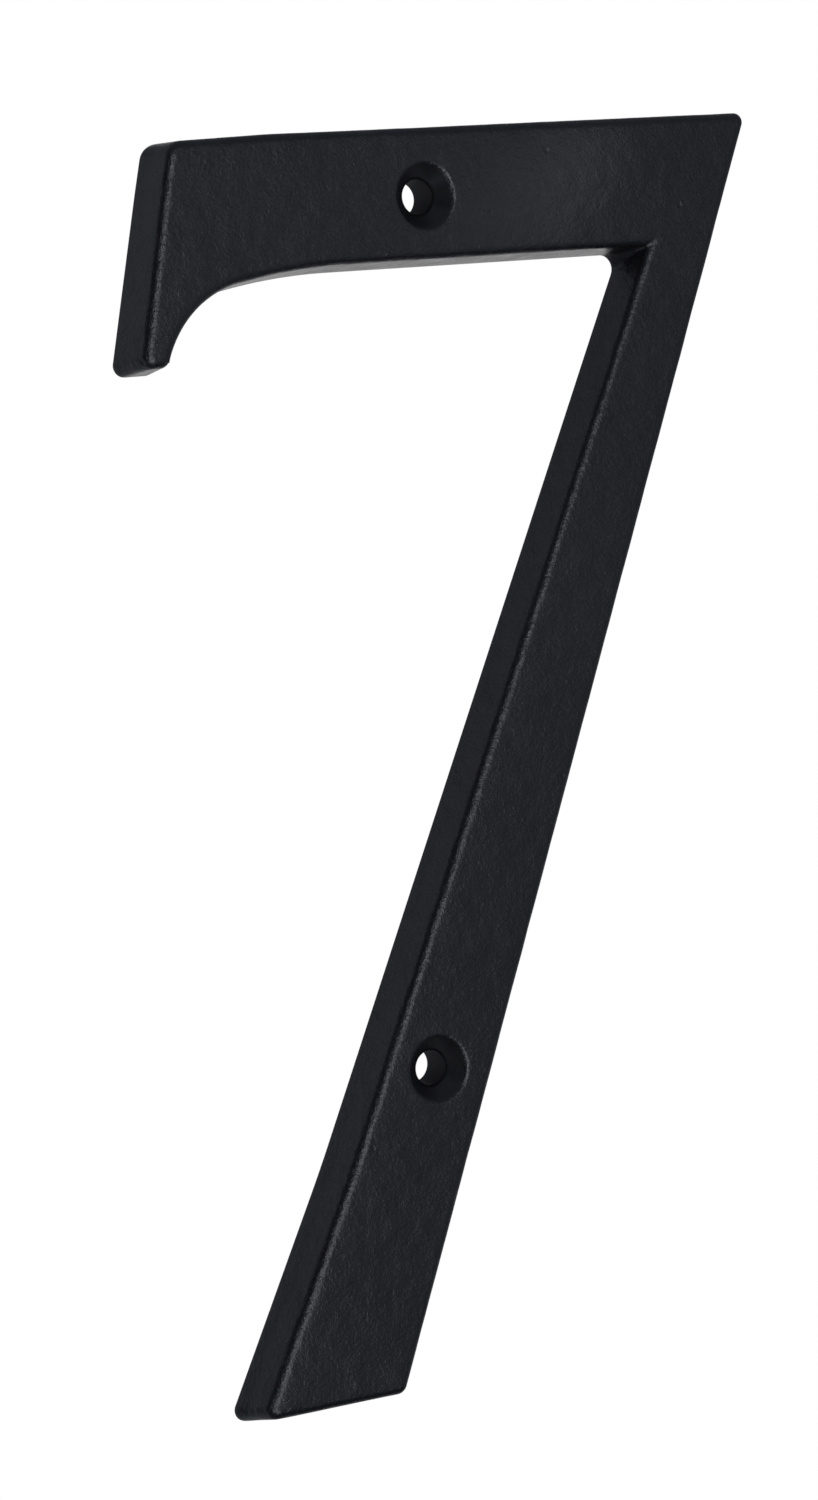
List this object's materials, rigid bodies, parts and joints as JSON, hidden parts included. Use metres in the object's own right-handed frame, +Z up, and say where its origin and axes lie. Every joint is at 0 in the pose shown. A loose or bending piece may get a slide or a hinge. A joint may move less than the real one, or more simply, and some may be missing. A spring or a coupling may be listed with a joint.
{
  "type": "house number",
  "caption": "Flat cast iron house number seven with a hooked serif, drafted and rounded edges, black powder coat and countersunk holes for screwing it to a wall.",
  "frame": {"origin": "on the wall plane, midway between the two screw holes", "axes": "+X to the reader's right, +Y into the wall, +Z up; the front faces -Y and the back lies on Y = 0"},
  "size_m": [0.089, 0.0064, 0.1523],
  "materials": {
    "black_powder_coat": "satin black powder coat with a fine orange-peel grain over a cast surface"
  },
  "bodies": {
    "root": {"house_number": "black_powder_coat"}
  },
  "joints": []
}
